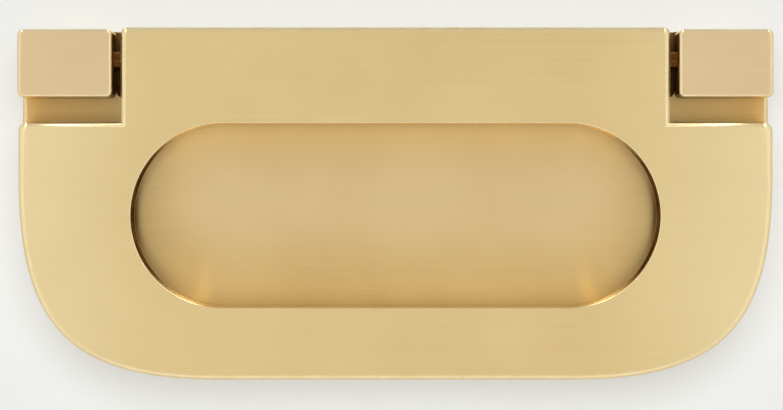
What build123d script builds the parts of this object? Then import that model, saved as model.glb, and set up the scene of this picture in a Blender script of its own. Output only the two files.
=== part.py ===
"""Ring pull for a drawer or cabinet door, in millimetres.

A flat leaf with a long finger slot hangs in front of a back plate. The leaf's tab stands between two square
hinge blocks and turns on two short pins. The plate has a recess behind the tab, so that the tab's rear edge has
room to swing back when the leaf is lifted. Two screws come through the drawer front and the plate into the
blocks.

Frame: X runs to the right across the pull, Z up, and -Y points out of the drawer front. The origin lies on the
back face, midway between the two fixing screws.
"""

import os

from build123d import *

# Back plate
plate_width = 80.0
plate_thickness = 3.0
plate_edge = 0.5
ear_corner = 1.0
recess_depth = 1.8
recess_corner = 1.0

# Hinge blocks
block_width = 10.0
block_height = 7.2
block_corner = 0.6
block_edge = 0.35

# Leaf, measured downwards from the top of its tab
shoulder_drop = 10.0
rail_above_slot = 10.15
slot_height = 19.5
rail_below_slot = 7.65
slot_side_margin = 11.9
leaf_thickness = 6.0
shoulder_corner = 1.0
tab_corner = 0.7
leaf_edge = 0.6
leaf_back_edge = 0.2
slot_edge = 0.15

# Lower corners of leaf and plate: a curve that eases out of the sides, and how far it fills the square corner
foot_reach = 21.2
foot_fullness = 0.74

# Hinge pins
pin_diameter = 2.0
pin_drop = 3.5
pin_reach = 6.0
pin_end = 0.2

# Fixing screws, M4
screw_hole = 4.5
thread_bore = 3.3
thread_front_wall = 1.3
thread_pin_wall = 0.55

# Clearances
leaf_side_inset = 0.1
leaf_plate_gap = 0.3
tab_side_gap = 0.9
tab_rise = 0.2
pin_clearance = 0.05
pin_end_clearance = 0.1

# Levels and widths that follow from the sizes above
block_top = block_height / 2
block_bottom = -block_height / 2
block_inner_x = plate_width / 2 - block_width
fixing_x = plate_width / 2 - block_width / 2
leaf_width = plate_width - 2 * leaf_side_inset
leaf_height = rail_above_slot + slot_height + rail_below_slot
leaf_back = plate_thickness + leaf_plate_gap
tab_top = block_top + tab_rise
tab_width = 2 * (block_inner_x - tab_side_gap)
shoulder_z = tab_top - shoulder_drop
leaf_bottom = tab_top - leaf_height
slot_z = tab_top - rail_above_slot - slot_height / 2
slot_length = leaf_width - 2 * slot_side_margin
block_depth = leaf_plate_gap + leaf_thickness
hinge_y = -(leaf_back + leaf_thickness / 2)
hinge_z = tab_top - pin_drop
thread_depth = block_depth - thread_front_wall
pin_hole_depth = block_width / 2 - thread_bore / 2 - thread_pin_wall
pin_seat = pin_hole_depth - pin_end_clearance
pin_length = pin_seat + tab_side_gap + pin_reach
bore_depth = pin_reach + pin_end_clearance
bore_diameter = pin_diameter + 2 * pin_clearance
foot_handle = foot_reach * (1 - foot_fullness)
sides = {"left": -1, "right": 1}


def foot_points(half_width):
    """Control points of the right lower corner, from the side to the bottom edge."""
    return [
        (half_width, leaf_bottom + foot_reach),
        (half_width, leaf_bottom + foot_handle),
        (half_width - foot_handle, leaf_bottom),
        (half_width - foot_reach, leaf_bottom),
    ]


os.makedirs("parts", exist_ok=True)

# Back plate: an ear behind each block, and the recess between the ears, open at the top
with BuildPart() as plate:
    with BuildSketch(Plane.XZ) as plate_outline:
        with BuildLine():
            right_foot = Bezier(*foot_points(plate_width / 2))
            left_foot = mirror(right_foot, about=Plane.YZ)
            Line(right_foot @ 1, left_foot @ 1)
            Polyline(right_foot @ 0, (plate_width / 2, block_top), (-plate_width / 2, block_top), left_foot @ 0)
        make_face()
        fillet(plate_outline.vertices().group_by(Axis.Y)[-1], ear_corner)
    extrude(amount=plate_thickness)
    plate_front = plate.faces().filter_by(Axis.Y).sort_by(Axis.Y)[0]
    fillet(plate_front.outer_wire().edges(), plate_edge)
    with BuildSketch(Plane.XZ.offset(plate_thickness)) as recess:
        with Locations((0, block_bottom)):
            Rectangle(2 * block_inner_x, block_height, align=(Align.CENTER, Align.MIN))
        fillet(recess.vertices().group_by(Axis.Y)[0], recess_corner)
    extrude(amount=-recess_depth, mode=Mode.SUBTRACT)
    with BuildSketch(Plane.XZ):
        with Locations((-fixing_x, 0), (fixing_x, 0)):
            Circle(screw_hole / 2)
    extrude(amount=plate_thickness, mode=Mode.SUBTRACT)
plate.part.label = "back_plate"
export_step(plate.part, "parts/back_plate.step")

# Hinge blocks: tapped from behind for the fixing screw and drilled from the inner side for the pin
for side, sign in sides.items():
    with BuildPart() as block:
        with BuildSketch(Plane.XZ.offset(plate_thickness)) as block_outline:
            with Locations((sign * fixing_x, 0)):
                Rectangle(block_width, block_height)
            fillet(block_outline.vertices(), block_corner)
        extrude(amount=block_depth)
        block_front = block.faces().filter_by(Axis.Y).sort_by(Axis.Y)[0]
        fillet(block_front.outer_wire().edges(), block_edge)
        with BuildSketch(Plane.XZ.offset(plate_thickness)):
            with Locations((sign * fixing_x, 0)):
                Circle(thread_bore / 2)
        extrude(amount=thread_depth, mode=Mode.SUBTRACT)
        with BuildSketch(Plane.YZ.offset(sign * block_inner_x)):
            with Locations((hinge_y, hinge_z)):
                Circle(pin_diameter / 2)
        extrude(amount=sign * pin_hole_depth, mode=Mode.SUBTRACT)
    block.part.label = f"{side}_hinge_block"
    export_step(block.part, f"parts/{side}_hinge_block.step")

# Hinge pins: pressed into the blocks, with their inner ends running in the leaf
for side, sign in sides.items():
    with BuildPart() as pin:
        with BuildSketch(Plane.YZ.offset(sign * (block_inner_x + pin_seat))):
            with Locations((hinge_y, hinge_z)):
                Circle(pin_diameter / 2)
        extrude(amount=-sign * pin_length)
        chamfer(pin.edges().filter_by(GeomType.CIRCLE), pin_end)
    pin.part.label = f"{side}_hinge_pin"
    export_step(pin.part, f"parts/{side}_hinge_pin.step")

# Leaf: a tab above two shoulders, round lower corners, the finger slot and a bore in each side of the tab
with BuildPart() as leaf:
    with BuildSketch(Plane.XZ.offset(leaf_back)) as leaf_outline:
        with BuildLine():
            right_foot = Bezier(*foot_points(leaf_width / 2))
            left_foot = mirror(right_foot, about=Plane.YZ)
            Line(right_foot @ 1, left_foot @ 1)
            Polyline(right_foot @ 0, (leaf_width / 2, shoulder_z), (-leaf_width / 2, shoulder_z), left_foot @ 0)
        make_face()
        fillet(leaf_outline.vertices().group_by(Axis.Y)[-1], shoulder_corner)
        with BuildSketch() as tab:
            with Locations((0, shoulder_z)):
                Rectangle(tab_width, shoulder_drop, align=(Align.CENTER, Align.MIN))
            fillet(tab.vertices().group_by(Axis.Y)[-1], tab_corner)
        with Locations((0, slot_z)):
            SlotOverall(slot_length, slot_height, mode=Mode.SUBTRACT)
    extrude(amount=leaf_thickness)
    leaf_front_face = leaf.faces().filter_by(Axis.Y).sort_by(Axis.Y)[0]
    fillet(leaf_front_face.inner_wires()[0].edges(), slot_edge)
    leaf_front_face = leaf.faces().filter_by(Axis.Y).sort_by(Axis.Y)[0]
    fillet(leaf_front_face.outer_wire().edges(), leaf_edge)
    leaf_back_face = leaf.faces().filter_by(Axis.Y).sort_by(Axis.Y)[-1]
    fillet(leaf_back_face.edges(), leaf_back_edge)
    for sign in sides.values():
        with BuildSketch(Plane.YZ.offset(sign * tab_width / 2)):
            with Locations((hinge_y, hinge_z)):
                Circle(bore_diameter / 2)
        extrude(amount=-sign * bore_depth, mode=Mode.SUBTRACT)
leaf.part.label = "slotted_leaf"
export_step(leaf.part, "parts/slotted_leaf.step")
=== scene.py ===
"""Looks of a brushed brass ring pull.

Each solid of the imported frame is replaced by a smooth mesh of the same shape, dressed in brushed brass, and
set before a pale backdrop in soft light. Lengths are in metres. X runs to the right across the pull, Z up,
and -Y points out of the drawer front.
"""

import logging
import math
from collections.abc import Callable, Iterable, Sequence
from dataclasses import dataclass
from enum import Enum
from functools import cached_property

import bmesh
import bpy
from bmesh.types import BMEdge, BMFace, BMVert
from mathutils import Matrix, Vector
from mathutils.geometry import interpolate_bezier


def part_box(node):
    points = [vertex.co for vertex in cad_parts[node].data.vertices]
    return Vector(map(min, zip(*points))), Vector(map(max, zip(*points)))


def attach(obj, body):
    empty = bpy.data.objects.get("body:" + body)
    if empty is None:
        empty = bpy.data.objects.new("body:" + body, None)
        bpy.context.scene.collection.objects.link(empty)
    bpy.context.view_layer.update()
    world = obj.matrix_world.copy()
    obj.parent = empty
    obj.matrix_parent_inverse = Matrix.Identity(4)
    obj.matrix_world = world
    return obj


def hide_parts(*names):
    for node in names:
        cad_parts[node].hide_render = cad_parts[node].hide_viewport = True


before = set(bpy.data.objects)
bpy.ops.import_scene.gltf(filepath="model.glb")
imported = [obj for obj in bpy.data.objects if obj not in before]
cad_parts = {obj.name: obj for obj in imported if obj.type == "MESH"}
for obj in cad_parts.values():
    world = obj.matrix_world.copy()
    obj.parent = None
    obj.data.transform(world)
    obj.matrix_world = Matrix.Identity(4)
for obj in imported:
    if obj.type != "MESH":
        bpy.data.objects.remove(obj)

Colour = tuple[float, float, float]
Range = tuple[float, float]
Edges = tuple[float, float, float, float]

MM = 0.001
NEAR = 1e-7
LEVEL = 1e-6
FULL = (0.0, 1.0)
FADING = (1.0, 0.0)
OUTWARDS = Vector((0.0, -1.0, 0.0))
ROUND_STEPS = 48
LOG = logging.getLogger("ring_pull")

# Shares of a unit normal that tell what a face is
STEEP = 0.5  # of Y: less on walls, more on flats
UPRIGHT = 0.1  # of Y: less on walls without roundings
LYING = 0.6  # of Y: more on flats and most roundings
SQUARE_ON = 0.9  # of X: more on sides that face along the hinge
TOP = 0.99  # of Z: more on upper edges
ALIGNED = 0.999  # of a given way: more on flats that face it
END_ON = 0.05  # square to the marks: less where they would run into the face


class Side(Enum):
    """The two ends of the hinge, each with its sign along X."""

    LEFT = -1
    RIGHT = 1


class Grain(Enum):
    """Ways that the fine tool marks run on a piece."""

    LENGTHWAYS = "along X on the flats, along the outline on the walls"
    TURNED = "round the X axis"


@dataclass(frozen=True)
class Corner:
    """One corner of a flat outline."""

    x: float
    z: float
    radius: float = 0.0
    steps: int = 8


@dataclass(frozen=True)
class Foot:
    """A lower corner of the leaf or plate, drawn as a curve that eases out of the sides.

    The curve meets the sides at a distance of reach from the square corner and fills a share of that corner.
    """

    x: float
    z: float
    reach: float = 21.2 * MM
    fullness: float = 0.74
    steps: int = 64

    def points(self, y: float) -> list[Vector]:
        """Returns the points of the curve, going round the lower edge from the side at -X to that at +X."""
        inwards = -math.copysign(1.0, self.x)
        handle = self.reach * (1.0 - self.fullness)
        side = [Vector((self.x, y, self.z + rise)) for rise in (self.reach, handle)]
        base = [Vector((self.x + inwards * run, y, self.z)) for run in (handle, self.reach)]
        curve = interpolate_bezier(*side, *base, self.steps + 1)
        return curve if self.x < 0.0 else curve[::-1]


class Workpiece:
    """One piece while it is shaped: a bmesh and the few operations that the pull needs."""

    def __init__(self, name: str) -> None:
        """Starts an empty piece with the name of the finished object."""
        self.name = name
        self.bm = bmesh.new()
        # Middles of roundings: edge wear and a painted highlight
        self.worn_and_lit = self.bm.verts.layers.float.new("worn_and_lit")
        self.wall = self.bm.loops.layers.float.new("wall")
        # Share of painted shade: dark, dull brass where shade falls in recesses
        self.dull = self.bm.loops.layers.float.new("dull")
        self.grain = self.bm.loops.layers.uv.new("grain")

    def outline(self, corners: Sequence[Corner | Foot], y: float) -> list[BMEdge]:
        """Draws a closed flat outline and rounds its corners.

        Args:
            corners: The corners in order, the lower ones from -X to +X.
            y: Depth at which the outline lies.

        Returns:
            The edges of the outline.
        """
        others = set(self.bm.edges)
        verts, square = [], []
        for corner in corners:
            points = corner.points(y) if isinstance(corner, Foot) else [Vector((corner.x, y, corner.z))]
            made = [self.bm.verts.new(point) for point in points]
            verts += made
            if isinstance(corner, Corner):
                square.append((corner, made[0]))
        self.bm.faces.new(verts)
        for corner, vert in square:
            if corner.radius:
                bmesh.ops.bevel(
                    self.bm, geom=[vert], offset=corner.radius, offset_type="OFFSET", affect="VERTICES",
                    segments=corner.steps, profile=0.5, material=-1, clamp_overlap=False,
                )
        bmesh.ops.remove_doubles(self.bm, verts=self.bm.verts[:], dist=NEAR)
        bmesh.ops.delete(self.bm, geom=self.bm.faces[:], context="FACES_ONLY")
        return [edge for edge in self.bm.edges if edge not in others]

    def circle(self, centre: Vector, axis: Vector, radius: float) -> list[BMEdge]:
        """Draws a circle that faces along an axis and returns its edges."""
        place = Matrix.Translation(centre) @ axis.to_track_quat("Z", "Y").to_matrix().to_4x4()
        made = bmesh.ops.create_circle(
            self.bm, cap_ends=False, radius=radius, segments=ROUND_STEPS, matrix=place
        )
        return list(dict.fromkeys(edge for vert in made["verts"] for edge in vert.link_edges))

    def fill(self, edges: Iterable[BMEdge], normal: Vector) -> list[BMFace]:
        """Fills between a border and the holes inside it.

        Args:
            edges: The edges of the border and of the holes.
            normal: The direction that the surface faces.

        Returns:
            The new faces.
        """
        made = bmesh.ops.triangle_fill(
            self.bm, edges=list(edges), use_beauty=True, use_dissolve=False, normal=normal
        )
        return [item for item in made["geom"] if isinstance(item, BMFace)]

    def shift_new(self, made: dict[str, list], way: Vector) -> list[BMVert]:
        """Moves the new vertices of an extrusion and returns them."""
        verts = [item for item in made["geom"] if isinstance(item, BMVert)]
        bmesh.ops.translate(self.bm, verts=verts, vec=way)
        return verts

    def thicken(self, faces: Sequence[BMFace], depth: float) -> None:
        """Extrudes a flat sheet along Y into a closed solid."""
        made = bmesh.ops.extrude_face_region(self.bm, geom=list(faces))
        self.shift_new(made, Vector((0.0, depth, 0.0)))
        self.turn_outwards()

    def draw_out(self, edges: Sequence[BMEdge], depth: float) -> list[BMEdge]:
        """Draws walls along Y from edges and returns the edges at their far end."""
        made = bmesh.ops.extrude_edge_only(self.bm, edges=list(edges))
        self.shift_new(made, Vector((0.0, depth, 0.0)))
        return [item for item in made["geom"] if isinstance(item, BMEdge)]

    def turn_outwards(self) -> None:
        """Turns every face outwards."""
        bmesh.ops.recalc_face_normals(self.bm, faces=self.bm.faces[:])

    def rim(self, y: float, keep: Callable[[Vector], bool] = lambda point: True) -> list[BMEdge]:
        """Finds the edges at one depth where a flat meets a wall.

        Args:
            y: The depth.
            keep: Tells from an edge's middle whether it is wanted.

        Returns:
            The edges found.
        """
        found = []
        for edge in self.bm.edges:
            ends = [vert.co for vert in edge.verts]
            level = all(abs(end.y - y) < NEAR for end in ends)
            walls = [face for face in edge.link_faces if abs(face.normal.y) < STEEP]
            if level and len(walls) == 1 and keep((ends[0] + ends[1]) / 2):
                found.append(edge)
        return found

    def ease(self, edges: Sequence[BMEdge], radius: float, steps: int = 5) -> None:
        """Rounds edges and marks the middle of the rounding for edge wear and a painted highlight.

        Args:
            edges: The edges to round.
            radius: Radius of the rounding.
            steps: Number of strips in it.
        """
        made = bmesh.ops.bevel(
            self.bm, geom=list(edges), offset=radius, offset_type="OFFSET", affect="EDGES", segments=steps,
            profile=0.5, material=-1, clamp_overlap=False, loop_slide=False,
        )
        strips = set(made["faces"])
        for vert in made["verts"]:
            if all(face in strips for face in vert.link_faces):
                vert[self.worn_and_lit] = 1.0

    def flat_at(self, point: Vector, normal: Vector) -> BMFace:
        """Returns the largest flat face that lies level with a point and faces one way."""
        facing = [face for face in self.bm.faces if face.normal.dot(normal) > ALIGNED]
        level = [face for face in facing if abs((face.verts[0].co - point).dot(normal)) < LEVEL]
        return max(level, key=lambda face: face.calc_area())

    def bore(self, centre: Vector, facing: Vector, radius: float, depth: float) -> None:
        """Drills a blind hole into a flat.

        Args:
            centre: Centre of the hole's mouth, on the flat.
            facing: The direction that the flat looks.
            radius: Radius of the hole.
            depth: Depth of the hole.
        """
        face = self.flat_at(centre, facing)
        border = list(face.edges)
        bmesh.ops.delete(self.bm, geom=[face], context="FACES_ONLY")
        mouth = self.circle(centre, facing, radius)
        self.fill(border + mouth, facing)
        made = bmesh.ops.extrude_edge_only(self.bm, edges=mouth)
        bmesh.ops.contextual_create(self.bm, geom=self.shift_new(made, -depth * facing))
        self.turn_outwards()

    def mark_walls(self, painted_shade_share: Callable[[Vector, Vector], float]) -> None:
        """Marks the walls, which are finer than the flats, and the places that get painted shade: dark, dull,
        non-metallic brass where shade falls in recesses.

        Args:
            painted_shade_share: Tells from a place and the way its surface faces how much painted shade it
                gets, from 0 to 1.
        """
        for face in self.bm.faces:
            for loop in face.loops:
                loop[self.wall] = 1.0 if abs(face.normal.y) < UPRIGHT else 0.0
                loop[self.dull] = painted_shade_share(loop.vert.co, face.normal)

    def lay_grain(self, grain: Grain) -> None:
        """Writes the grain map, whose U runs across the tool marks and V along them.

        Args:
            grain: The way that the marks run.
        """
        across_pull = Vector((1.0, 0.0, 0.0))
        for face in self.bm.faces:
            normal = face.normal
            if grain is Grain.TURNED:
                along = normal.cross(across_pull)
            elif abs(normal.y) > LYING:
                along = across_pull - normal * normal.dot(across_pull)
            else:
                along = normal.cross(OUTWARDS)
            if along.length < END_ON:
                along = normal.orthogonal()
            along.normalize()
            across = normal.cross(along)
            for loop in face.loops:
                loop[self.grain].uv = (loop.vert.co.dot(across), loop.vert.co.dot(along))

    def release(self, sharp_from: float = 40.0) -> bpy.types.Object:
        """Makes the finished object, with even shading between flats and roundings.

        Args:
            sharp_from: Angle in degrees from which an edge stays sharp.

        Returns:
            The object, at the origin.
        """
        for face in self.bm.faces:
            face.smooth = True
        mesh = bpy.data.meshes.new(self.name)
        self.bm.to_mesh(mesh)
        self.bm.free()
        mesh.set_sharp_from_angle(angle=math.radians(sharp_from))
        piece = bpy.data.objects.new(self.name, mesh)
        bpy.context.scene.collection.objects.link(piece)
        even = piece.modifiers.new("even_shading", "WEIGHTED_NORMAL")
        even.keep_sharp = True
        even.weight = 100
        return piece


class NodeDesk:
    """Places and joins the nodes of one shader tree."""

    def __init__(self, tree: bpy.types.NodeTree) -> None:
        """Takes up the node tree of a material, world or group."""
        self.tree = tree

    def add(self, kind: str, values: dict[str, object] | None = None, **settings: object) -> bpy.types.Node:
        """Places a node.

        Args:
            kind: The node's type name.
            values: Inputs by name: a socket to join, or a plain value.
            **settings: Settings of the node itself.

        Returns:
            The node.
        """
        node = self.tree.nodes.new(kind)
        for name, value in settings.items():
            setattr(node, name, value)
        for name, value in (values or {}).items():
            self.feed(value, node.inputs[name])
        return node

    def feed(self, value: object, socket: bpy.types.NodeSocket) -> None:
        """Joins a socket to an input, or sets the input's value; a colour is always opaque."""
        if isinstance(value, bpy.types.NodeSocket):
            self.tree.links.new(value, socket)
        else:
            socket.default_value = (*value, 1.0) if socket.type == "RGBA" else value

    def group(self, tree: bpy.types.NodeTree, values: dict[str, object]) -> bpy.types.NodeOutputs:
        """Places a node group and returns its outputs."""
        return self.add("ShaderNodeGroup", values, node_tree=tree).outputs

    def math(
        self, operation: str, first: object, second: object = 0.0, kind: str = "Math"
    ) -> bpy.types.NodeSocket:
        """Places a Math or VectorMath node, fed with sockets or values, and returns its result's socket."""
        node = self.add(f"ShaderNode{kind}", operation=operation)
        self.feed(first, node.inputs[0])
        self.feed(second, node.inputs[1])
        return node.outputs[0]

    def times(self, first: object, second: object) -> bpy.types.NodeSocket:
        """Returns the socket of a product."""
        return self.math("MULTIPLY", first, second)

    def without(self, mask: object, loss: object, share: float) -> bpy.types.NodeSocket:
        """Returns the socket of a mask that loses a share of itself where another value is high."""
        return self.times(mask, self.math("SUBTRACT", 1.0, self.times(loss, share)))

    def span(
        self, value: object, source: Range, target: Range, manner: str = "SMOOTHSTEP"
    ) -> bpy.types.NodeSocket:
        """Maps a range onto another, smoothly unless told otherwise.

        Args:
            value: Socket with the value.
            source: Lowest and highest value read.
            target: The values that they become.
            manner: The way of passing from one end to the other.

        Returns:
            The result's socket.
        """
        node = self.add("ShaderNodeMapRange", interpolation_type=manner)
        labels = ("Value", "From Min", "From Max", "To Min", "To Max")
        for label, item in zip(labels, (value, *source, *target)):
            self.feed(item, node.inputs[label])
        return node.outputs[0]

    def band(self, value: object, edges: Edges) -> bpy.types.NodeSocket:
        """Returns the socket of a mask that rises over the first two edges and falls over the others."""
        return self.times(self.span(value, edges[:2], FULL), self.span(value, edges[2:], FADING))

    def noise(
        self, place: object, scale: object, detail: float, roughness: float = 0.5, dimensions: str = "3D"
    ) -> bpy.types.NodeSocket:
        """Places a Noise Texture node.

        Args:
            place: Socket with the place at which the noise is read.
            scale: Socket or number.
            detail: Number of finer layers.
            roughness: Weight of the finer layers.
            dimensions: "2D" on a flat map, "3D" in space.

        Returns:
            The noise's socket.
        """
        values = {"Vector": place, "Scale": scale, "Detail": detail, "Roughness": roughness}
        return self.add("ShaderNodeTexNoise", values, noise_dimensions=dimensions).outputs[0]

    def tint(self, factor: object, first: object, second: object) -> bpy.types.NodeSocket:
        """Returns the socket of a mix of two colours, with the second one's share as factor."""
        node = self.add("ShaderNodeMix", data_type="RGBA")
        for index, value in ((0, factor), (6, first), (7, second)):
            self.feed(value, node.inputs[index])
        return node.outputs[2]

    def blend(self, factor: object, first: bpy.types.Node, second: bpy.types.Node) -> bpy.types.Node:
        """Returns a node that mixes two shaders, with the second one's share as factor."""
        node = self.add("ShaderNodeMixShader", {"Fac": factor})
        self.feed(first.outputs[0], node.inputs[1])
        self.feed(second.outputs[0], node.inputs[2])
        return node


@dataclass
class ToolMarks:
    """Node groups that the brass finishes share, each built when it is first asked for."""

    middle: Range = (0.3, 0.7)
    line_middle: Range = (0.32, 0.68)
    fine_share: float = 0.6
    coarse_share: float = 0.4
    coarse_scale: float = 0.21
    scratch_stretch: tuple[float, float, float] = (5200.0, 95.0, 1.0)
    scratch_peak: Range = (0.74, 0.84)
    polish_scale: float = 420.0
    polish_swing: Range = (0.6, 1.0)
    cloud_scale: float = 300.0
    cloud_swing: Range = (0.85, 1.0)

    @staticmethod
    def group(
        name: str, inputs: Sequence[str], outputs: Sequence[str]
    ) -> tuple[NodeDesk, bpy.types.NodeOutputs, bpy.types.NodeInputs]:
        """Starts a group with named sockets.

        Args:
            name: The group's name.
            inputs: Names of its inputs.
            outputs: Names of its outputs.

        Returns:
            A desk for the group, and the sockets that lead into and out of it.
        """
        tree = bpy.data.node_groups.new(name, "ShaderNodeTree")
        for way, labels in (("INPUT", inputs), ("OUTPUT", outputs)):
            for label in labels:
                kind = "Vector" if label in ("Map", "Shift", "Place") else "Float"
                tree.interface.new_socket(label, in_out=way, socket_type=f"NodeSocket{kind}")
        into = tree.nodes.new("NodeGroupInput").outputs
        return NodeDesk(tree), into, tree.nodes.new("NodeGroupOutput").inputs

    @staticmethod
    def stretched(desk: NodeDesk, into: bpy.types.NodeOutputs, stretch: object) -> bpy.types.NodeSocket:
        """Returns the socket of the grain map, shifted and then stretched."""
        moved = desk.math("ADD", into["Map"], into["Shift"], "VectorMath")
        return desk.math("MULTIPLY", moved, stretch, "VectorMath")

    @cached_property
    def lines(self) -> bpy.types.NodeTree:
        """Long fine lines along the grain, coarse and fine together: grain map in, tone and height out."""
        desk, into, out = self.group("brush_lines", ("Map", "Shift", "Across", "Along"), ("Tone", "Height"))
        stretch = desk.add("ShaderNodeCombineXYZ", {"X": into["Across"], "Y": into["Along"]})
        scaled = self.stretched(desk, into, stretch.outputs[0])
        fine = desk.noise(scaled, 1.0, detail=3.0, roughness=0.65, dimensions="2D")
        coarse = desk.noise(scaled, self.coarse_scale, detail=2.0, dimensions="2D")
        both = desk.math("ADD", desk.times(fine, self.fine_share), desk.times(coarse, self.coarse_share))
        desk.feed(desk.span(both, self.line_middle, FULL), out["Tone"])
        desk.feed(both, out["Height"])
        return desk.tree

    @cached_property
    def scratches(self) -> bpy.types.NodeTree:
        """A few thin bright scratches along the grain: grain map in, mask out."""
        desk, into, out = self.group("stray_scratches", ("Map", "Shift"), ("Mask",))
        scaled = self.stretched(desk, into, self.scratch_stretch)
        noise = desk.noise(scaled, 1.0, detail=1.0, dimensions="2D")
        desk.feed(desk.span(noise, self.scratch_peak, FULL), out["Mask"])
        return desk.tree

    @cached_property
    def handling(self) -> bpy.types.NodeTree:
        """Broad soft changes of tone from polishing and handling: place in, tone out."""
        desk, into, out = self.group("handling", ("Place", "Scale"), ("Tone",))
        noise = desk.noise(into["Place"], into["Scale"], detail=3.0, roughness=0.55)
        desk.feed(desk.span(noise, self.middle, FULL), out["Tone"])
        return desk.tree

    @cached_property
    def edges(self) -> bpy.types.NodeTree:
        """Roundings brighter than the flats, a little unevenly, partly as edge wear and partly as a painted
        highlight: place in, mask out.
        """
        desk, into, out = self.group("edge_wear_and_highlight", ("Place",), ("Mask",))
        worn_and_lit = desk.add("ShaderNodeAttribute", attribute_type="GEOMETRY", attribute_name="worn_and_lit")
        noise = desk.noise(into["Place"], self.polish_scale, detail=2.0)
        uneven = desk.span(noise, self.middle, self.polish_swing)
        desk.feed(desk.times(worn_and_lit.outputs["Fac"], uneven), out["Mask"])
        return desk.tree

    @cached_property
    def walls(self) -> bpy.types.NodeTree:
        """Walls finer than the flats, and painted shade in recesses, broken up into clouds: place in, two
        masks out.
        """
        desk, into, out = self.group("cut_walls", ("Place",), ("Wall", "Dull"))
        wall = desk.add("ShaderNodeAttribute", attribute_type="GEOMETRY", attribute_name="wall")
        dull = desk.add("ShaderNodeAttribute", attribute_type="GEOMETRY", attribute_name="dull")
        noise = desk.noise(into["Place"], self.cloud_scale, detail=3.0, roughness=0.6)
        cloudy = desk.span(noise, self.middle, self.cloud_swing)
        desk.feed(wall.outputs["Fac"], out["Wall"])
        desk.feed(desk.times(dull.outputs["Fac"], cloudy), out["Dull"])
        return desk.tree

    @cached_property
    def areas(self) -> bpy.types.NodeTree:
        """Long round-ended area that fades out towards its border: place and sizes in, mask out."""
        sizes = ("Place", "Depth", "Level", "Straight", "Radius", "Core")
        desk, into, out = self.group("slot_shape", sizes, ("Mask",))
        way = desk.add("ShaderNodeSeparateXYZ", {"Vector": into["Place"]}).outputs
        past = desk.math("SUBTRACT", desk.math("ABSOLUTE", way["X"]), into["Straight"])
        beside = desk.math("MAXIMUM", past, 0.0)
        above = desk.math("SUBTRACT", way["Z"], into["Level"])
        squares = desk.math("ADD", desk.times(beside, beside), desk.times(above, above))
        apart = desk.math("DIVIDE", desk.math("SQRT", squares), into["Radius"])
        fading = desk.span(apart, (into["Core"], 1.0), FADING)
        desk.feed(desk.times(fading, desk.math("LESS_THAN", way["Y"], into["Depth"])), out["Mask"])
        return desk.tree

    @cached_property
    def ends(self) -> bpy.types.NodeTree:
        """Painted light: ends of a piece paler than its middle, standing in for light from the sides: place
        and distances in, mask out.
        """
        desk, into, out = self.group("painted_light_ends", ("Place", "From", "To"), ("Mask",))
        way = desk.add("ShaderNodeSeparateXYZ", {"Vector": into["Place"]}).outputs
        apart = desk.math("ABSOLUTE", way["X"])
        desk.feed(desk.span(apart, (into["From"], into["To"]), FULL), out["Mask"])
        return desk.tree


@dataclass(frozen=True)
class ToneArea:
    """A long round-ended area of a front that has a tone of its own.

    Its tone is full over the core, given as a share of the radius, and fades out towards the border. It lies
    on surfaces that stand further forward than the depth.
    """

    colour: Colour
    level: float
    radius: float
    core: float
    straight: float = 18.25 * MM
    depth: float = -2.4 * MM


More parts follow.
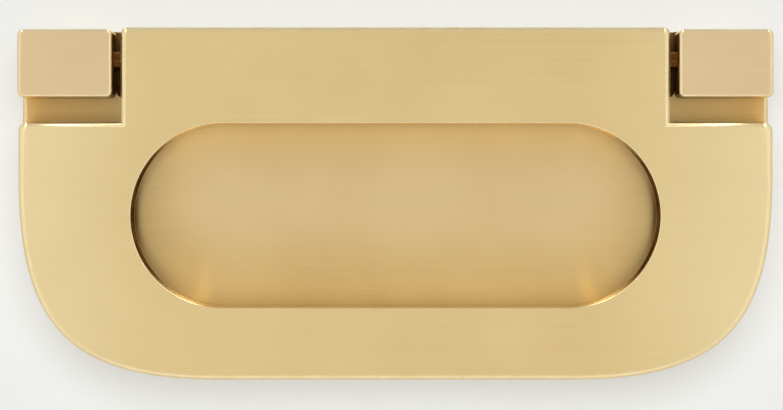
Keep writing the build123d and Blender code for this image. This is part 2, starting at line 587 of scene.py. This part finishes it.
@dataclass(frozen=True)
class BrassFinish:
    """Brass with fine tool marks along the grain of a piece, painted shade in its recesses, painted light on
    its ends and chosen areas, and edge wear with a painted highlight on its roundings.
    """

    name: str
    colour: Colour
    deep_colour: Colour
    # Paler roundings: partly edge wear, partly a painted highlight
    edge_wear_and_highlight_colour: Colour
    wall_colour: Colour
    # Painted shade: dark non-metallic brown for the shade in hinge recesses, pin holes and the slot's far
    # ends
    painted_shade_colour: Colour = (0.15, 0.06, 0.01)
    roughness: float = 0.3
    wall_roughness: float = 0.25
    painted_shade_roughness: float = 0.55
    mark_roughness: float = 0.03
    edge_smoothness: float = 0.06
    anisotropy: float = 1.0
    lines_per_m: float = 9000.0
    runs_per_m: float = 28.0
    line_tone: float = 0.5
    line_depth: float = 0.05
    bump_distance: float = 0.02 * MM
    scratch_tone: float = 0.35
    handling_scale: float = 70.0
    handling_tone: float = 0.3
    shift: tuple[float, float, float] = (0.0, 0.0, 0.0)
    areas: tuple[ToneArea, ...] = ()
    area_breakup: float = 0.4
    # Painted light: the piece grows paler towards its ends, standing in for light from the sides
    lit_ends: Range | None = None
    lit_ends_breakup: float = 0.3
    lit_ends_colour: Colour = (0.82, 0.67, 0.37)

    def material(self, marks: ToolMarks) -> bpy.types.Material:
        """Builds the material.

        Args:
            marks: The shared node groups.

        Returns:
            The material.
        """
        made = bpy.data.materials.new(self.name)
        made.use_nodes = True
        desk = NodeDesk(made.node_tree)
        shader = made.node_tree.nodes["Principled BSDF"].inputs
        place = desk.add("ShaderNodeTexCoord").outputs["Object"]
        grain = desk.add("ShaderNodeUVMap", uv_map="grain").outputs["UV"]
        run = {"Map": grain, "Shift": self.shift}
        lines = desk.group(marks.lines, run | {"Across": self.lines_per_m, "Along": self.runs_per_m})
        scratches = desk.group(marks.scratches, run)["Mask"]
        handling = desk.group(marks.handling, {"Place": place, "Scale": self.handling_scale})["Tone"]
        edge_wear_and_shine = desk.group(marks.edges, {"Place": place})["Mask"]
        walls = desk.group(marks.walls, {"Place": place})

        deep = desk.times(desk.math("SUBTRACT", 1.0, lines["Tone"]), self.line_tone)
        toned = desk.math("ADD", deep, desk.times(handling, self.handling_tone))
        flat = desk.tint(toned, self.colour, self.deep_colour)
        # Painted light on the tone areas, broken up by the brush tone
        for area in self.areas:
            sizes = {"Place": place, "Depth": area.depth, "Level": area.level, "Straight": area.straight}
            shape = desk.group(marks.areas, sizes | {"Radius": area.radius, "Core": area.core})
            flat = desk.tint(desk.without(shape["Mask"], toned, self.area_breakup), flat, area.colour)
        # Painted light towards the ends
        if self.lit_ends:
            ends = desk.group(marks.ends, dict(zip(("Place", "From", "To"), (place, *self.lit_ends))))
            flat = desk.tint(desk.without(ends["Mask"], toned, self.lit_ends_breakup), flat, self.lit_ends_colour)
        cut = desk.tint(walls["Wall"], flat, self.wall_colour)
        # Roundings and scratches turn paler: edge wear with a painted highlight on the roundings
        bright = desk.math("MAXIMUM", edge_wear_and_shine, desk.times(scratches, self.scratch_tone))
        lit = desk.tint(bright, cut, self.edge_wear_and_highlight_colour)
        # Painted shade: the recesses turn dark brown and lose their metal
        desk.feed(desk.tint(walls["Dull"], lit, self.painted_shade_colour), shader["Base Color"])
        desk.feed(desk.math("SUBTRACT", 1.0, walls["Dull"]), shader["Metallic"])

        smoothest = self.roughness - self.mark_roughness
        rough = desk.span(walls["Wall"], FULL, (smoothest, self.wall_roughness), "LINEAR")
        rough = desk.span(walls["Dull"], FULL, (rough, self.painted_shade_roughness), "LINEAR")
        rough = desk.math("ADD", rough, desk.times(lines["Tone"], self.mark_roughness))
        rough = desk.math("ADD", rough, desk.times(handling, self.mark_roughness))
        rough = desk.math("SUBTRACT", rough, desk.times(edge_wear_and_shine, self.edge_smoothness))
        desk.feed(rough, shader["Roughness"])

        relief = {"Strength": self.line_depth, "Distance": self.bump_distance, "Height": lines["Height"]}
        desk.feed(desk.add("ShaderNodeBump", relief).outputs["Normal"], shader["Normal"])
        tangent = desk.add("ShaderNodeTangent", direction_type="UV_MAP", uv_map="grain")
        desk.feed(tangent.outputs["Tangent"], shader["Tangent"])
        shader["Specular IOR Level"].default_value = 0.0
        shader["Anisotropic"].default_value = self.anisotropy
        return made


# Painted light: the paler middle of the plate's front, seen through the slot, stands in for the light on that
# open floor, while the deeper gold of the rest of the plate matches the shade under the blocks
SLOT_FLOOR_LIGHT = ToneArea((0.70, 0.53, 0.282), level=-14.0 * MM, radius=12.0 * MM, core=0.0)
# The leaf gets painted light on its ends
LEAF_BRASS = BrassFinish(
    "leaf_brass_brushed", (0.73, 0.56, 0.27), (0.69, 0.51, 0.23), (0.80, 0.65, 0.37), (0.84, 0.60, 0.23),
    # Darker painted shade for the slot's far ends and the tab's hinge slits
    painted_shade_colour=(0.10, 0.035, 0.005), lit_ends=(20.0 * MM, 43.0 * MM),
)
PLATE_BRASS = BrassFinish(
    "plate_brass_brushed", (0.69, 0.488, 0.2), (0.64, 0.443, 0.168), (0.78, 0.62, 0.36), (0.70, 0.48, 0.19),
    shift=(0.41, 0.17, 0.0), areas=(SLOT_FLOOR_LIGHT,),
)
BLOCK_BRASS = BrassFinish(
    "block_brass_brushed", (0.73, 0.56, 0.32), (0.69, 0.51, 0.27), (0.80, 0.65, 0.40), (0.82, 0.58, 0.23),
    shift=(0.83, 0.29, 0.0),
)
# Painted shade: the pin's brass is painted dark brown for the shade of the hinge slit it sits in
PIN_BRASS_SHADED = BrassFinish(
    "pin_brass_painted_shade", (0.23, 0.09, 0.015), (0.17, 0.06, 0.01), (0.34, 0.17, 0.05), (0.23, 0.09, 0.015),
    roughness=0.4, wall_roughness=0.4, anisotropy=0.5, lines_per_m=12000.0, runs_per_m=200.0,
    shift=(0.13, 0.57, 0.0),
)


@dataclass
class PullPiece:
    """A piece of the pull that stands for one solid of the frame."""

    name: str
    node: str
    body: str
    slot: str
    finish: BrassFinish
    grain: Grain = Grain.LENGTHWAYS

    @cached_property
    def span(self) -> tuple[Vector, Vector]:
        """The lowest and highest corner of the solid."""
        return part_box(self.node)

    def build(self) -> Workpiece:
        """Shapes the piece; each kind of piece has its own way."""
        raise NotImplementedError

    def painted_shade_share(self, place: Vector, facing: Vector) -> float:
        """Returns how much painted shade a place gets, from 0 to 1: dark, dull, non-metallic metal where
        shade falls.
        """
        return 0.0

    def dress(self, piece: bpy.types.Object, marks: ToolMarks) -> None:
        """Gives the piece its finish and its place on the frame.

        Args:
            piece: The finished object.
            marks: The shared node groups.
        """
        known = bpy.data.materials.get(self.finish.name)
        piece.data.materials.append(known or self.finish.material(marks))
        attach(piece, self.body)
        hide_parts(self.node)

    def make(self, marks: ToolMarks) -> None:
        """Builds and dresses the piece, with the shared node groups."""
        work = self.build()
        work.mark_walls(self.painted_shade_share)
        work.lay_grain(self.grain)
        piece = work.release()
        self.dress(piece, marks)
        LOG.info("%s: %d faces", piece.name, len(piece.data.polygons))


@dataclass
class BackPlate(PullPiece):
    """The plate behind the leaf, with an ear behind each block and a recess between the ears."""

    ear_corner: float = 1.0 * MM
    recess_corner: float = 1.0 * MM
    recess_half: float = 30.0 * MM
    recess_foot: float = -3.6 * MM
    recess_depth: float = 1.8 * MM
    front_edge: float = 0.5 * MM
    hole_radius: float = 2.25 * MM
    hole_spread: float = 35.0 * MM
    hole_reach: float = 1.1

    def border(self) -> list[Corner | Foot]:
        """Returns the corners of the plate's outline, in order from the upper left."""
        low, high = self.span
        return [
            Corner(low.x, high.z, self.ear_corner), Foot(low.x, low.z), Foot(high.x, low.z),
            Corner(high.x, high.z, self.ear_corner),
        ]

    def build(self) -> Workpiece:
        """Shapes the plate.

        Returns:
            The shaped piece.
        """
        low, high = self.span
        work = Workpiece(self.name)
        recess = [
            Corner(self.recess_half, high.z),
            Corner(self.recess_half, self.recess_foot, self.recess_corner),
            Corner(-self.recess_half, self.recess_foot, self.recess_corner),
            Corner(-self.recess_half, high.z),
        ]
        edges = work.outline(self.border() + recess, low.y)
        for side in Side:
            centre = Vector((side.value * self.hole_spread, low.y, 0.0))
            edges += work.circle(centre, OUTWARDS, self.hole_radius)
        work.fill(edges, OUTWARDS)
        ledge = work.draw_out(edges, self.recess_depth)
        bank = [edge for edge in ledge if all(self.in_recess(vert.co) for vert in edge.verts)]
        corners = dict.fromkeys(vert for edge in bank for vert in edge.verts)
        lip = work.bm.edges.new([vert for vert in corners if abs(vert.co.z - high.z) < NEAR])
        bmesh.ops.contextual_create(work.bm, geom=bank + [lip])
        rest = [edge for edge in ledge if edge not in bank] + [lip]
        work.fill(work.draw_out(rest, high.y - low.y - self.recess_depth), -OUTWARDS)
        work.turn_outwards()
        work.ease(work.rim(low.y, self.on_border), self.front_edge)
        return work

    def painted_shade_share(self, place: Vector, facing: Vector) -> float:
        """Returns 1 on the recess's floor and walls, which get painted shade."""
        floor = facing.y < -STEEP and place.y > self.span[0].y + NEAR
        plate_top = facing.z >= TOP and place.z >= self.recess_foot + NEAR
        wall = abs(facing.y) < STEEP and not plate_top
        return 1.0 if self.in_recess(place) and (floor or wall) else 0.0

    def in_recess(self, point: Vector) -> bool:
        """Tells whether a point lies within the recess or on its outline."""
        return abs(point.x) < self.recess_half + NEAR and point.z > self.recess_foot - NEAR

    def on_border(self, point: Vector) -> bool:
        """Tells the plate's border from its recess and holes."""
        from_hole = math.hypot(abs(point.x) - self.hole_spread, point.z)
        return from_hole >= self.hole_reach * self.hole_radius and not self.in_recess(point)


@dataclass
class HingeBlock(PullPiece):
    """A square block, tapped from behind and drilled for the pin from its inner side.

    The thread's profile runs over one turn: how deep it lies and its share of the pitch.
    """

    side: Side = Side.LEFT
    corner: float = 0.6 * MM
    front_edge: float = 0.35 * MM
    pin_radius: float = 1.0 * MM
    pin_hole_depth: float = 2.8 * MM
    pin_hole_reach: float = 1.05
    thread_inner: float = 1.65 * MM
    thread_outer: float = 2.0 * MM
    thread_pitch: float = 0.7 * MM
    thread_depth: float = 5.0 * MM
    thread_profile: tuple[Range, ...] = ((0.0, 0.0), (0.0, 0.25), (1.0, 0.56), (1.0, 0.69), (0.0, 1.0))
    thread_steps: int = 28
    spare_turns: int = 2
    hinge: Range = (-6.3 * MM, 0.3 * MM)

    @property
    def inner(self) -> float:
        """Where the block's inner side lies along X."""
        low, high = self.span
        return low.x if self.side is Side.RIGHT else high.x

    def build(self) -> Workpiece:
        """Shapes the block.

        Returns:
            The shaped piece.
        """
        low, high = self.span
        work = Workpiece(self.name)
        places = ((low.x, low.z), (high.x, low.z), (high.x, high.z), (low.x, high.z))
        edges = work.outline([Corner(x, z, self.corner) for x, z in places], low.y)
        work.thicken(work.fill(edges, OUTWARDS), high.y - low.y)
        work.ease(work.rim(low.y), self.front_edge)
        facing = Vector((-self.side.value, 0.0, 0.0))
        work.bore(Vector((self.inner, *self.hinge)), facing, self.pin_radius, self.pin_hole_depth)
        self.tap(work, Vector(((low.x + high.x) / 2, high.y, (low.z + high.z) / 2)))
        return work

    def painted_shade_share(self, place: Vector, facing: Vector) -> float:
        """Returns 1 on the side that faces the tab and in the pin's hole, which get painted shade."""
        within = abs(place.x - self.inner) < self.pin_hole_depth + NEAR
        towards_tab = facing.x * self.side.value < -SQUARE_ON
        from_axis = math.hypot(place.y - self.hinge[0], place.z - self.hinge[1])
        by_axis = from_axis < self.pin_hole_reach * self.pin_radius
        return 1.0 if within and (towards_tab or by_axis) else 0.0

    def tap(self, work: Workpiece, mouth: Vector) -> None:
        """Cuts the screw thread into the back of the block.

        Args:
            work: The block.
            mouth: Centre of the thread's mouth, on the back.
        """
        bm, pitch, steps = work.bm, self.thread_pitch, self.thread_steps
        back = [face for face in bm.faces if all(abs(vert.co.y - mouth.y) < NEAR for vert in face.verts)]
        bmesh.ops.delete(bm, geom=back, context="FACES")
        border = [edge for edge in bm.edges if edge.is_boundary]
        turns = math.ceil(self.thread_depth / pitch) + self.spare_turns
        verts = []
        for depth, share in self.thread_profile:
            radius = self.thread_inner + depth * (self.thread_outer - self.thread_inner)
            verts.append(bm.verts.new((mouth.x + radius, mouth.y + (1.0 - share) * pitch, mouth.z)))
        chain = [bm.edges.new(pair) for pair in zip(verts, verts[1:])]
        others = set(bm.verts) - set(verts)
        bmesh.ops.spin(
            bm, geom=verts + chain, cent=mouth, axis=(0.0, 1.0, 0.0), dvec=(0.0, -pitch / steps, 0.0),
            angle=2 * math.pi * turns, steps=steps * turns, use_merge=False, use_duplicate=False,
        )
        helix = [vert for vert in bm.verts if vert not in others]
        bmesh.ops.remove_doubles(bm, verts=helix, dist=NEAR)
        for level, away in ((mouth.y, 1.0), (mouth.y - self.thread_depth, -1.0)):
            helix = [vert for vert in bm.verts if vert not in others]
            parts = dict.fromkeys(helix)
            for vert in helix:
                parts.update(dict.fromkeys(vert.link_edges))
                parts.update(dict.fromkeys(vert.link_faces))
            bmesh.ops.bisect_plane(
                bm, geom=list(parts), dist=NEAR, plane_co=(mouth.x, level, mouth.z),
                plane_no=(0.0, away, 0.0), clear_outer=True,
            )
        loose = [edge for edge in bm.edges if edge.is_boundary and edge not in border]
        rim = [edge for edge in loose if all(abs(vert.co.y - mouth.y) < LEVEL for vert in edge.verts)]
        foot = [edge for edge in loose if edge not in rim]
        for edges in (border + rim, foot):
            work.fill(edges, -OUTWARDS)
        work.turn_outwards()


@dataclass
class HingePin(PullPiece):
    """A short drawn pin with chamfered ends."""

    chamfer: float = 0.2 * MM

    def build(self) -> Workpiece:
        """Shapes the pin.

        Returns:
            The shaped piece.
        """
        low, high = self.span
        radius = (high.z - low.z) / 2
        work = Workpiece(self.name)
        place = Matrix.Translation((low + high) / 2) @ Matrix.Rotation(math.radians(90.0), 4, "Y")
        bmesh.ops.create_cone(
            work.bm, cap_ends=True, cap_tris=False, segments=ROUND_STEPS, radius1=radius, radius2=radius,
            depth=high.x - low.x, matrix=place,
        )
        ends = [edge for edge in work.bm.edges if abs(edge.verts[0].co.x - edge.verts[1].co.x) < NEAR]
        work.ease(ends, self.chamfer, 1)
        work.turn_outwards()
        return work


@dataclass
class SlottedLeaf(PullPiece):
    """The leaf: a tab with two bores above two shoulders, the finger slot and round lower corners."""

    shoulder: float = -6.2 * MM
    shoulder_corner: float = 1.0 * MM
    tab_half: float = 29.1 * MM
    tab_corner: float = 0.7 * MM
    slot_half: float = 28.0 * MM
    slot_radius: float = 9.75 * MM
    slot_level: float = -16.1 * MM
    slot_steps: int = 28
    slot_reach: float = 0.1 * MM
    front_edge: float = 0.6 * MM
    slot_edge: float = 0.15 * MM
    back_edge: float = 0.2 * MM
    bore_radius: float = 1.05 * MM
    bore_depth: float = 6.1 * MM
    hinge: Range = (-6.3 * MM, 0.3 * MM)
    shade_from: float = 0.42
    shade_over: float = 0.45

    def build(self) -> Workpiece:
        """Shapes the leaf.

        Returns:
            The shaped piece.
        """
        low, high = self.span
        work = Workpiece(self.name)
        edges = work.outline(
            [
                Corner(-self.tab_half, high.z, self.tab_corner),
                Corner(-self.tab_half, self.shoulder),
                Corner(low.x, self.shoulder, self.shoulder_corner),
                Foot(low.x, low.z),
                Foot(high.x, low.z),
                Corner(high.x, self.shoulder, self.shoulder_corner),
                Corner(self.tab_half, self.shoulder),
                Corner(self.tab_half, high.z, self.tab_corner),
            ],
            low.y,
        )
        radius, ends = self.slot_radius, ((-1, 1), (1, 1), (1, -1), (-1, -1))
        slot = [
            Corner(x * self.slot_half, self.slot_level + z * radius, radius, self.slot_steps) for x, z in ends
        ]
        edges += work.outline(slot, low.y)
        work.thicken(work.fill(edges, OUTWARDS), high.y - low.y)
        work.ease(work.rim(low.y, self.by_slot), self.slot_edge)
        work.ease(work.rim(low.y, lambda point: not self.by_slot(point)), self.front_edge)
        work.ease(work.rim(high.y), self.back_edge, 3)
        for side in Side:
            mouth = Vector((side.value * self.tab_half, *self.hinge))
            work.bore(mouth, Vector((side.value, 0.0, 0.0)), self.bore_radius, self.bore_depth)
        return work

    def painted_shade_share(self, place: Vector, facing: Vector) -> float:
        """Returns 1 on the tab's sides and in its bores, and rises to 1 at the far ends of the slot: painted
        shade for the hinge slits and the slot's shaded end walls.
        """
        if abs(facing.y) > STEEP:
            return 0.0
        if place.z > self.shoulder - NEAR and abs(place.x) < self.tab_half + NEAR:
            below_top = place.z < self.span[1].z - 2.0 * self.front_edge
            return 1.0 if abs(facing.x) > SQUARE_ON or below_top else 0.0
        if self.by_slot(place):
            turned = min(max((abs(facing.x) - self.shade_from) / self.shade_over, 0.0), 1.0)
            return turned * turned * (3.0 - 2.0 * turned)
        return 0.0

    def by_slot(self, point: Vector) -> bool:
        """Tells whether a point lies on the slot's edge."""
        beside = max(abs(point.x) - self.slot_half + self.slot_radius, 0.0)
        return math.hypot(beside, point.z - self.slot_level) < self.slot_radius + self.slot_reach


@dataclass
class Studio:
    """Backdrop, light and camera.

    The sky pairs a height in degrees with a brightness. Sectors are degrees from straight ahead, the panes'
    lean is degrees from straight up, and their depth is the share of the way that points forward.
    """

    wall_colour: Colour = (0.875, 0.885, 0.87)
    wall_half: float = 1.6
    wall_top: float = 1.6
    floor_level: float = -0.6
    wall_gap: float = 0.05 * MM
    paint_scale: float = 6.0
    paint_lift: float = 1.01
    far_colour: Colour = (0.9, 0.9, 0.88)
    camera_distance: float = 420.0 * MM
    aim: Range = (-0.42 * MM, -15.0 * MM)
    view_width: float = 82.77 * MM
    sensor_width: float = 36.0
    sky: tuple[Range, ...] = (
        (-90.0, 0.8), (-62.0, 1.3), (-52.0, 1.63), (-40.0, 1.08), (-31.0, 0.44), (-22.0, 0.6), (-15.0, 1.35),
        (8.0, 1.35), (12.0, 0.77), (20.0, 0.49), (30.0, 0.75), (40.0, 0.98), (55.0, 0.83), (90.0, 0.6),
    )
    front_sector: Range = (30.0, 42.0)
    side_level: float = 1.1
    back_sector: Range = (100.0, 140.0)
    back_level: float = 1.0
    pane_lean: Edges = (11.0, 17.0, 23.0, 29.0)
    pane_depth: Edges = (0.0, 0.1, 0.64, 0.82)
    pane_level: float = 4.5
    wall_glow: float = 0.55
    floor_glow: float = 0.9
    lamp_power: float = 13.5
    lamp_size: float = 0.9
    lamp_place: tuple[float, float, float] = (0.0, -1.2, 0.29)

    def stage(self, plate: BackPlate) -> None:
        """Builds the wall that the pull hangs on and the floor far below it.

        The wall is open where the plate covers it, so that the plate's back is lit when seen from behind.

        Args:
            plate: The plate that hangs on the wall.
        """
        wall = Workpiece("wall")
        half, top, foot = self.wall_half, self.wall_top, self.floor_level
        corners = [Corner(x, z) for x, z in ((-half, top), (half, top), (half, foot), (-half, foot))]
        edges = wall.outline(corners, self.wall_gap)
        edges += wall.outline(plate.border(), self.wall_gap)
        self.face(wall.fill(edges, OUTWARDS), OUTWARDS)
        floor = Workpiece("floor")
        place = Matrix.Translation((0.0, -half, foot))
        bmesh.ops.create_grid(floor.bm, x_segments=2, y_segments=2, size=half, matrix=place)
        self.face(floor.bm.faces, Vector((0.0, 0.0, 1.0)))
        for work, glow in ((wall, self.wall_glow), (floor, self.floor_glow)):
            sheet = work.release()
            sheet.data.materials.append(self.paint(f"{work.name}_paint", glow))
            sheet.visible_glossy = sheet.visible_shadow = work is wall

    @staticmethod
    def face(faces: Iterable[BMFace], way: Vector) -> None:
        """Turns flat faces to look one way."""
        for face in faces:
            face.normal_update()
            if face.normal.dot(way) < 0.0:
                face.normal_flip()

    def paint(self, name: str, share: float) -> bpy.types.Material:
        """Builds a matt paint for the backdrop, which is clear from behind.

        Args:
            name: Name of the paint.
            share: Share of the paint's own glow in what the camera and the metal see.

        Returns:
            The material.
        """
        made = bpy.data.materials.new(name)
        made.use_nodes = True
        nodes = made.node_tree.nodes
        nodes.remove(nodes["Principled BSDF"])
        desk = NodeDesk(made.node_tree)
        place = desk.add("ShaderNodeTexCoord").outputs["Object"]
        noise = desk.noise(place, self.paint_scale, detail=2.0)
        paler = tuple(min(1.0, self.paint_lift * part) for part in self.wall_colour)
        matt = desk.add("ShaderNodeBsdfDiffuse", {"Color": desk.tint(noise, self.wall_colour, paler)})
        glow = desk.add("ShaderNodeEmission", {"Color": self.wall_colour})
        rays = desk.add("ShaderNodeLightPath").outputs
        seen = desk.math("MAXIMUM", rays["Is Camera Ray"], rays["Is Glossy Ray"])
        seen = desk.times(desk.math("MAXIMUM", seen, rays["Is Transmission Ray"]), share)
        front = desk.blend(seen, matt, glow)
        behind = desk.add("ShaderNodeNewGeometry").outputs["Backfacing"]
        both = desk.blend(behind, front, desk.add("ShaderNodeBsdfTransparent"))
        desk.feed(both.outputs[0], nodes["Material Output"].inputs["Surface"])
        return made

    def room(self, desk: NodeDesk) -> bpy.types.NodeSocket:
        """Builds the room that the metal mirrors: a banded front, plain sides and back, and two high panes.

        Args:
            desk: The desk of the world's tree.

        Returns:
            The socket with the room's brightness.
        """
        ways = desk.add("ShaderNodeTexCoord").outputs["Generated"]
        way = desk.add("ShaderNodeSeparateXYZ", {"Vector": ways}).outputs
        aside, forward = desk.math("ABSOLUTE", way["X"]), desk.times(way["Y"], -1.0)
        quarter = math.pi / 2.0
        height = desk.span(desk.math("ARCSINE", way["Z"]), (-quarter, quarter), FULL, "LINEAR")
        bands = desk.add("ShaderNodeValToRGB", {"Fac": height})
        stops = bands.color_ramp.elements
        for angle, strength in self.sky[1:-1]:
            stops.new((angle + 90.0) / 180.0).color = (strength, strength, strength, 1.0)
        for index in (0, -1):
            strength = self.sky[index][1]
            stops[index].color = (strength, strength, strength, 1.0)
        front, back, lean = (
            tuple(math.radians(angle) for angle in angles)
            for angles in (self.front_sector, self.back_sector, self.pane_lean)
        )
        turned = desk.math("ARCTAN2", aside, forward)
        behind = desk.span(turned, back, (self.side_level, self.back_level))
        level = desk.span(desk.span(turned, front, FULL), FULL, (bands.outputs["Color"], behind), "LINEAR")
        pane = desk.band(desk.math("ARCTAN2", aside, way["Z"]), lean)
        pane = desk.times(pane, desk.band(forward, self.pane_depth))
        return desk.math("ADD", level, desk.times(pane, self.pane_level))

    def light(self) -> None:
        """Sets the room that lights the metal and the soft lamp that lights the backdrop."""
        world = bpy.data.worlds.new("studio")
        bpy.context.scene.world = world
        world.use_nodes = True
        desk = NodeDesk(world.node_tree)
        around = world.node_tree.nodes["Background"]
        desk.feed(self.room(desk), around.inputs["Strength"])
        desk.feed((1.0, 1.0, 1.0), around.inputs["Color"])
        plain = desk.add("ShaderNodeBackground", {"Color": self.far_colour, "Strength": 1.0})
        seen = desk.add("ShaderNodeLightPath").outputs["Is Camera Ray"]
        both = desk.blend(seen, around, plain)
        desk.feed(both.outputs[0], world.node_tree.nodes["World Output"].inputs["Surface"])
        world.cycles_visibility.diffuse = False

        lamp = bpy.data.lights.new("soft_lamp", "AREA")
        lamp.shape, lamp.size, lamp.energy = "DISK", self.lamp_size, self.lamp_power
        holder = bpy.data.objects.new("soft_lamp", lamp)
        holder.location = self.lamp_place
        way = Vector((0.0, 0.0, self.aim[1])) - holder.location
        holder.rotation_euler = way.to_track_quat("-Z", "Y").to_euler()
        holder.visible_glossy = False
        bpy.context.scene.collection.objects.link(holder)

    def camera(self, front: float) -> None:
        """Sets the camera straight before the pull.

        Args:
            front: Depth of the leaf's front.
        """
        lens = bpy.data.cameras.new("front_view")
        lens.sensor_width = self.sensor_width
        lens.lens = self.sensor_width * self.camera_distance / self.view_width
        holder = bpy.data.objects.new("front_view", lens)
        holder.location = (self.aim[0], front - self.camera_distance, self.aim[1])
        holder.rotation_euler = (math.radians(90.0), 0.0, 0.0)
        bpy.context.scene.collection.objects.link(holder)
        bpy.context.scene.camera = holder
        bpy.context.scene.view_settings.view_transform = "Standard"


def main() -> None:
    """Builds the pull and its studio."""
    logging.basicConfig(level=logging.INFO, format="%(name)s %(message)s")
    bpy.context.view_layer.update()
    marks = ToolMarks()
    plate = BackPlate("plate_brushed", "back_plate", "base", "plate_brass", PLATE_BRASS)
    plate.make(marks)
    for side in Side:
        hand = side.name.lower()
        block = HingeBlock(
            f"{hand}_block_brushed", f"{hand}_hinge_block", "base", "block_brass", BLOCK_BRASS, side=side
        )
        pin = HingePin(
            f"{hand}_pin_drawn", f"{hand}_hinge_pin", "base", "pin_brass", PIN_BRASS_SHADED, Grain.TURNED
        )
        block.make(marks)
        pin.make(marks)
    leaf = SlottedLeaf("leaf_brushed", "slotted_leaf", "leaf", "leaf_brass", LEAF_BRASS)
    leaf.make(marks)
    studio = Studio()
    studio.stage(plate)
    studio.light()
    studio.camera(leaf.span[0].y)


if __name__ == "__main__":
    main()
